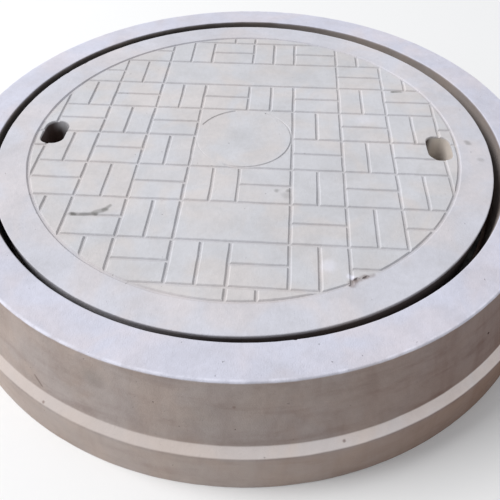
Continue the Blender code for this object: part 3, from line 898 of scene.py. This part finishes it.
# Stretches of the disc's groove that have filled up: first and last bearing, and how much of it is left
DISC_FILLS = ((66.0, 104.0, 0.0), (156.0, 188.0, 0.1), (188.0, 250.0, 0.65))
BORDER_FILLS = ((297.6, 304.6, 0.0),)


def round_groove(sizes, name, radius, share, fills=()):
    """A cutter for a round groove, at a share of the others' depth and width."""
    steps = [(half * share, height * share) for half, height in groove_steps(sizes)]
    rising = [(radius + half, COVER_TOP + height) for half, height in steps]
    falling = [(radius - half, COVER_TOP + height) for half, height in reversed(steps)]
    ring = spun(outline(name, rising + falling), GROOVE_STEPS, COVER_CENTRE)
    for first, last, left in fills:
        def filled(place, first=first, last=last):
            away = place - COVER_CENTRE
            return first <= math.degrees(math.atan2(away.y, away.x)) % 360 <= last

        pick(ring, filled)
        bpy.ops.transform.translate(value=UP * share * sizes.groove_depth * (1.2 - left))
        done(ring)
    uneven(ring, 0.0014, 0.05, "Z", 0.5, radius)
    return uneven(ring, 0.0014, 0.03, "X", 0.5, radius)


def hole_middle(sizes, word):
    """The middle of a lifting hole, over its bar and at half the cover's height."""
    bar_low, bar_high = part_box(f"cover_lifting_bar_{word}")
    inwards = COVER_RADIUS - sizes.hole_inset
    across = COVER_CENTRE.x + (inwards if word == "right" else -inwards)
    return Vector((across, (bar_low.y + bar_high.y) / 2, (COVER_TOP + COVER_BOTTOM) / 2))


def hole_cutter(sizes, word, seed):
    """A lifting hole: an upright prism with round corners, and a mouth that opens out."""
    middle = hole_middle(sizes, word)
    tall = COVER_TOP - COVER_BOTTOM
    scale = (sizes.hole_length, sizes.hole_width, tall - 2 * sizes.hole_flare)
    cutter = added(f"hole_{word}", bpy.ops.mesh.primitive_cube_add, size=1.0, location=middle, scale=scale)
    pick_edges(cutter, lambda start, end: abs(start.z - end.z) > tall / 2)
    bpy.ops.mesh.bevel(offset=sizes.hole_corner, segments=7, affect="EDGES")
    done(cutter)
    for sign in (1, -1):
        level = middle.z + sign * (tall / 2 - sizes.hole_flare)
        pick(cutter, lambda place, sign=sign, level=level: sign * (place.z - level) > -WELD)
        for step in (0.35, 0.65, 1.0):
            extrude((0.0, 0.0, sign * sizes.hole_flare * 0.6))
            grow = 1 + 2 * sizes.hole_flare * step / sizes.hole_width
            stretch((grow * 1.01, grow, 1.0), middle)
        done(cutter)
    slice_through(cutter, [middle + UP * tall * (step / 8 - 0.5) for step in range(1, 8)], UP)
    across = [middle + Vector((0.0, sizes.hole_width * (step / 8 - 0.5), 0.0)) for step in range(2, 7)]
    slice_through(cutter, across, (0.0, 1.0, 0.0))
    uneven(cutter, 0.0030, 0.020, "X", 0.5, 0.3 * seed)
    return uneven(cutter, 0.0024, 0.018, "Y", 0.5, 0.7 * seed)


def node_box(node):
    """A cutter for the pocket that holds a spacer block: its CAD box with room round it, open below."""
    low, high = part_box(node)
    room = Vector((CLEARANCE, CLEARANCE, CLEARANCE))
    low, high = low - room, high + room
    low.z -= POCKET_OVERRUN
    middle = (low + high) / 2
    size = high - low
    cutter = added(node + "_pocket", bpy.ops.mesh.primitive_cube_add, size=1.0, location=middle, scale=size)
    pick(cutter, lambda place: place.z < middle.z)
    stretch(((size.x - POCKET_TAPER) / size.x, (size.y - POCKET_TAPER) / size.y, 1.0), middle)
    return done(cutter)


def cast_cover(sizes, looks):
    """The patterned disc."""
    tall = COVER_TOP - COVER_BOTTOM
    middle = COVER_CENTRE + UP * (COVER_TOP + COVER_BOTTOM) / 2
    slab = added(
        "cover_slab_cast", bpy.ops.mesh.primitive_cylinder_add,
        vertices=COVER_SIDES, radius=COVER_RADIUS, depth=tall, location=middle,
    )
    shrink = (COVER_RADIUS - sizes.taper) / COVER_RADIUS
    pick(slab, lambda place: place.z < middle.z)
    stretch((shrink, shrink, 1.0), middle)
    bpy.ops.mesh.bevel(offset=sizes.foot, segments=2, affect="EDGES")
    done(slab)
    pick(slab, lambda place: place.z > COVER_TOP - WELD)
    bpy.ops.mesh.bevel(offset=sizes.arris, segments=4, affect="EDGES")
    done(slab)
    levels = [COVER_CENTRE + UP * (COVER_BOTTOM + sizes.foot + 0.006 * (step + 1)) for step in range(8)]
    slice_through(slab, levels, UP)
    uneven(slab, 0.0010, 0.02, seed=0.2)
    for vertex in slab.data.vertices:
        vertex.co.z = min(max(vertex.co.z, COVER_BOTTOM), COVER_TOP)
    cutters = straight_grooves(sizes)
    cutters.append(round_groove(sizes, "border_groove", COVER_RADIUS - sizes.border_margin, 1.0, BORDER_FILLS))
    cutters.append(round_groove(sizes, "disc_groove", sizes.disc_radius, 0.72, DISC_FILLS))
    carve(slab, cutters)
    holes = [hole_cutter(sizes, word, side) for word, side in (("left", -1), ("right", 1))]
    carve(slab, holes)
    carve(slab, [node_box(f"cover_spacer_{index}") for index in range(1, 5)])
    stone = pebble("pit")
    carve(slab, scattered(stone, cover_marks(), "cover_mark"))
    discard([stone])
    smooth(slab)
    dress(slab, cover_concrete(looks, sizes))
    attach(slab, "cover")
    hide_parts("cover_slab")


TREAD_PITS = 46
COVER_CHIPS = 26
# Breaks on the cover: bearing, distance from the edge, and size along and across it and down
EDGE_BREAKS = ((145.5, 0.000, 0.006, 0.0030, 0.0030), (152.0, 0.001, 0.004, 0.0022, 0.0020),
               (297.3, 0.0468, 0.0040, 0.0026, 0.0028), (299.2, 0.0520, 0.0050, 0.0030, 0.0032),
               (301.3, 0.0500, 0.0058, 0.0022, 0.0026))


def cover_marks():
    """Pits on the tread, and breaks along the edge and the border groove."""
    draw = random.Random(11)
    marks = []
    for _ in range(TREAD_PITS):
        place = polar(COVER_RADIUS * math.sqrt(draw.random()) * 0.97, draw.uniform(0, FULL_TURN), COVER_TOP)
        size = draw.uniform(0.0004, 0.0013)
        marks.append((COVER_CENTRE + place, (size, size * draw.uniform(0.8, 1.6), size * 0.7), 0.0))
    for bearing, inset, along, across, deep in EDGE_BREAKS:
        angle = math.radians(bearing)
        place = COVER_CENTRE + polar(COVER_RADIUS - inset, angle, COVER_TOP)
        marks.append((place, (across, along, deep), angle))
    for _ in range(COVER_CHIPS):
        angle = draw.uniform(0, FULL_TURN)
        place = COVER_CENTRE + polar(COVER_RADIUS - draw.uniform(-0.0002, 0.0008), angle, COVER_TOP)
        size = draw.uniform(0.0007, 0.0022)
        marks.append((place, (size * 0.7, size * draw.uniform(1.0, 2.4), size * 0.8), angle))
    return marks


def frame_outline(sizes):
    """The frame's section, up its outside and down its recess and bore."""
    return [
        (BASE_RADIUS, 0.0),
        (sizes.ledge_radius, sizes.ledge_level),
        (sizes.wall_foot, sizes.ledge_level + sizes.ledge_depth),
        (sizes.rim_radius, FRAME_TOP),
        (sizes.recess_top, FRAME_TOP),
        (sizes.recess_foot, sizes.seat_level),
        (sizes.bore, sizes.seat_level),
        (sizes.bore, 0.0),
    ]


def frame_marks(sizes):
    """Air holes on the outside of the frame, and chips along its arrises."""
    draw = random.Random(29)
    marks = []
    for _ in range(sizes.pinholes):
        angle = draw.uniform(0, FULL_TURN)
        height = draw.uniform(0.004, FRAME_TOP - 0.004)
        share = (height - sizes.ledge_level) / (FRAME_TOP - sizes.ledge_level)
        low = BASE_RADIUS + (sizes.ledge_radius - BASE_RADIUS) * height / sizes.ledge_level
        high = sizes.wall_foot + (sizes.rim_radius - sizes.wall_foot) * share
        size = draw.uniform(0.0006, 0.0020)
        place = polar((low if share < 0 else high) - size * 0.2, angle, height)
        marks.append((place, (size, size, size * draw.uniform(0.8, 1.3)), angle))
    arrises = (
        (sizes.rim_radius, FRAME_TOP, 0.0008),
        (sizes.recess_top, FRAME_TOP, -0.0008),
        (sizes.ledge_radius, sizes.ledge_level, 0.0),
        (BASE_RADIUS, 0.0, 0.001),
    )
    for index in range(sizes.chips):
        radius, height, out = arrises[index % len(arrises)]
        angle = draw.uniform(0, FULL_TURN)
        size = draw.uniform(0.0010, 0.0034)
        place = polar(radius + out, angle, height)
        marks.append((place, (size, size * draw.uniform(1.2, 3.0), size), angle))
    return marks


def cast_frame(sizes, looks):
    """The frame ring."""
    ring = outline("frame_ring_cast", frame_outline(sizes))
    rounded(ring, sizes.rounding)
    divided(ring, 0.0065)
    spun(ring, FRAME_STEPS)
    uneven(ring, sizes.roughness, 0.06, seed=0.9)
    uneven(ring, sizes.roughness * 0.6, 0.012, seed=2.7)
    lowest = min(vertex.co.z for vertex in ring.data.vertices)
    for vertex in ring.data.vertices:
        if vertex.co.z < lowest + sizes.roughness * 1.6:
            vertex.co.z = 0.0
    stone = pebble("pit", seed=8)
    carve(ring, scattered(stone, frame_marks(sizes), "frame_mark"))
    discard([stone])
    carve(ring, [node_box(f"frame_spacer_{index}") for index in range(1, 5)])
    smooth(ring, 40.0)
    dress(ring, frame_concrete(looks, sizes))
    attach(ring, "frame")
    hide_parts("frame_ring")


def lay_bedding(looks, inner):
    """The rubber ring that the cover beds on, with eased edges."""
    outer, low, high = GASKET_HIGH.x, GASKET_LOW.z, GASKET_HIGH.z
    points = [(outer, low), (outer, high), (inner, high), (inner, low)]
    ring = outline("seat_gasket_ring", points)
    rounded(ring, 0.0008, 2)
    divided(ring, 0.007)
    spun(ring, GASKET_STEPS)
    uneven(ring, 0.0003, 0.03, seed=1.4)
    smooth(ring)
    dress(ring, dusty_rubber(looks))
    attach(ring, "bedding")
    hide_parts("seat_gasket")


def fit_lifting_bar(word, material):
    """One round bar across a lifting hole, with eased ends."""
    node = f"cover_lifting_bar_{word}"
    low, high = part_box(node)
    radius = (high.z - low.z) / 2
    middle = (low + high) / 2
    bar = added(
        f"lifting_bar_{word}_round", bpy.ops.mesh.primitive_cylinder_add,
        vertices=32, radius=radius, depth=high.x - low.x, location=middle, rotation=(0.0, math.pi / 2, 0.0),
    )
    for end in (low.x, high.x):
        pick(bar, lambda place, end=end: abs(place.x - end) < WELD)
        bpy.ops.mesh.bevel(offset=radius / 5, segments=3, affect="EDGES")
        done(bar)
    cuts = int((high.x - low.x) / 0.004)
    places = [Vector((low.x + (high.x - low.x) * step / cuts, 0.0, 0.0)) for step in range(1, cuts)]
    slice_through(bar, places, (1.0, 0.0, 0.0))
    uneven(bar, 0.0004, 0.008, seed=0.6)
    smooth(bar)
    dress(bar, material)
    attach(bar, "cover")
    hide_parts(node)


def dress_cage(looks):
    """Finishes for the bars, hoops, links and spacer blocks that keep their CAD shapes."""
    rusty = rusty_steel("reinforcement_rust", looks, 0.1)
    mortar = spacer_mortar(looks)
    for name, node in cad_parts.items():
        if "spacer" in name:
            dress(node, mortar)
        elif "_bar_" in name or "hoop" in name or "stirrup" in name or "edge_ring" in name:
            dress(node, rusty)


# The key light, far off to the left so that it falls evenly
KEY_PLACE = Vector((-6.9, 0.45, 6.6))
KEY_TARGET = Vector((0.0, 0.0, 0.1))
KEY_SIZE = 6.0
SKY_TINT = (0.96, 0.975, 1.0, 1.0)
FLOOR_RADIUS = 7.0
FLOOR_PLACE = (0.0, 0.0, -0.0004)


def set_stage(stage):
    """The pale floor, the round key light, the sky and the camera."""
    floor = added(
        "studio_floor", bpy.ops.mesh.primitive_circle_add,
        vertices=96, radius=FLOOR_RADIUS, fill_type="NGON", location=FLOOR_PLACE,
    )
    shade = Shade("studio_floor_paint")
    dress(floor, shade.finish(Base_Color=tuple(stage.floor), Roughness=0.95))
    lamp = bpy.data.lights.new("key_light", "AREA")
    lamp.shape = "DISK"
    lamp.size = KEY_SIZE
    lamp.energy = stage.key_power
    key = linked("key_light", lamp)
    key.location = KEY_PLACE
    key.rotation_euler = (KEY_TARGET - KEY_PLACE).to_track_quat("-Z", "Y").to_euler()
    world = bpy.data.worlds.new("studio")
    world.use_nodes = True
    sky = world.node_tree.nodes["Background"]
    sky.inputs["Color"].default_value = SKY_TINT
    sky.inputs["Strength"].default_value = stage.sky
    bpy.context.scene.world = world
    bpy.context.scene.view_settings.view_transform = "Standard"

    camera_data = bpy.data.cameras.new("camera")
    camera_data.lens = stage.lens
    camera_data.sensor_width = 36.0
    camera = linked("camera", camera_data)
    back = Vector((0.0, -math.cos(stage.pitch), math.sin(stage.pitch))) * stage.distance
    turn = Matrix.Rotation(stage.turn, 4, "Z")
    tilt = Matrix.Rotation(math.pi / 2 - stage.pitch, 4, "X")
    roll = Matrix.Rotation(stage.roll, 4, "Z")
    camera.matrix_world = turn @ Matrix.Translation(Vector(stage.target) + back) @ tilt @ roll
    bpy.context.scene.camera = camera


# Operators, panel and registration


class MANHOLE_OT_cast_cover(bpy.types.Operator):
    """Cast the patterned cover with its grooves and lifting holes"""

    bl_idname = "manhole.cast_cover"
    bl_label = "Cast Cover"

    def execute(self, context):
        cast_cover(context.scene.cover_sizes, context.scene.casting_colours)
        return {"FINISHED"}


class MANHOLE_OT_cast_frame(bpy.types.Operator):
    """Cast the frame ring with its sloping wall, ledge and seat"""

    bl_idname = "manhole.cast_frame"
    bl_label = "Cast Frame"

    def execute(self, context):
        cast_frame(context.scene.frame_sizes, context.scene.casting_colours)
        return {"FINISHED"}


class MANHOLE_OT_lay_bedding(bpy.types.Operator):
    """Lay the rubber bedding ring on the seat"""

    bl_idname = "manhole.lay_bedding"
    bl_label = "Lay Bedding Ring"

    def execute(self, context):
        lay_bedding(context.scene.casting_colours, context.scene.frame_sizes.bore + GASKET_SETBACK)
        return {"FINISHED"}


class MANHOLE_OT_fit_steel(bpy.types.Operator):
    """Fit the lifting bars, and finish the reinforcement and the spacer blocks"""

    bl_idname = "manhole.fit_steel"
    bl_label = "Fit Steel"

    def execute(self, context):
        looks = context.scene.casting_colours
        handled = rusty_steel("handled_steel", looks, 0.45)
        for word in ("left", "right"):
            fit_lifting_bar(word, handled)
        dress_cage(looks)
        return {"FINISHED"}


class MANHOLE_OT_set_stage(bpy.types.Operator):
    """Set the floor, the lights and the camera"""

    bl_idname = "manhole.set_stage"
    bl_label = "Set Stage"

    def execute(self, context):
        set_stage(context.scene.stage_settings)
        return {"FINISHED"}


class MANHOLE_PT_panel(bpy.types.Panel):
    """Sizes, colours and operators of the manhole cover"""

    bl_idname = "MANHOLE_PT_panel"
    bl_label = "Manhole Cover"
    bl_space_type = "VIEW_3D"
    bl_region_type = "UI"
    bl_category = "Manhole"

    def draw(self, context):
        for group in SETTINGS:
            settings = getattr(context.scene, group)
            box = self.layout.box()
            box.label(text=settings.bl_rna.name)
            for key in type(settings).__annotations__:
                box.prop(settings, key)
        for operator in OPERATORS:
            self.layout.operator(operator.bl_idname)


SETTINGS = {
    "cover_sizes": CoverSizes,
    "frame_sizes": FrameSizes,
    "casting_colours": CastingColours,
    "stage_settings": StageSettings,
}
OPERATORS = (
    MANHOLE_OT_cast_cover,
    MANHOLE_OT_cast_frame,
    MANHOLE_OT_lay_bedding,
    MANHOLE_OT_fit_steel,
    MANHOLE_OT_set_stage,
)


def register():
    for group, settings in SETTINGS.items():
        bpy.utils.register_class(settings)
        setattr(bpy.types.Scene, group, PointerProperty(type=settings))
    for cls in (*OPERATORS, MANHOLE_PT_panel):
        bpy.utils.register_class(cls)


def unregister():
    for cls in (MANHOLE_PT_panel, *reversed(OPERATORS)):
        bpy.utils.unregister_class(cls)
    for group, settings in SETTINGS.items():
        delattr(bpy.types.Scene, group)
        bpy.utils.unregister_class(settings)


def main():
    register()
    bpy.ops.manhole.set_stage()
    bpy.ops.manhole.cast_cover()
    bpy.ops.manhole.cast_frame()
    bpy.ops.manhole.lay_bedding()
    bpy.ops.manhole.fit_steel()


if __name__ == "__main__":
    main()
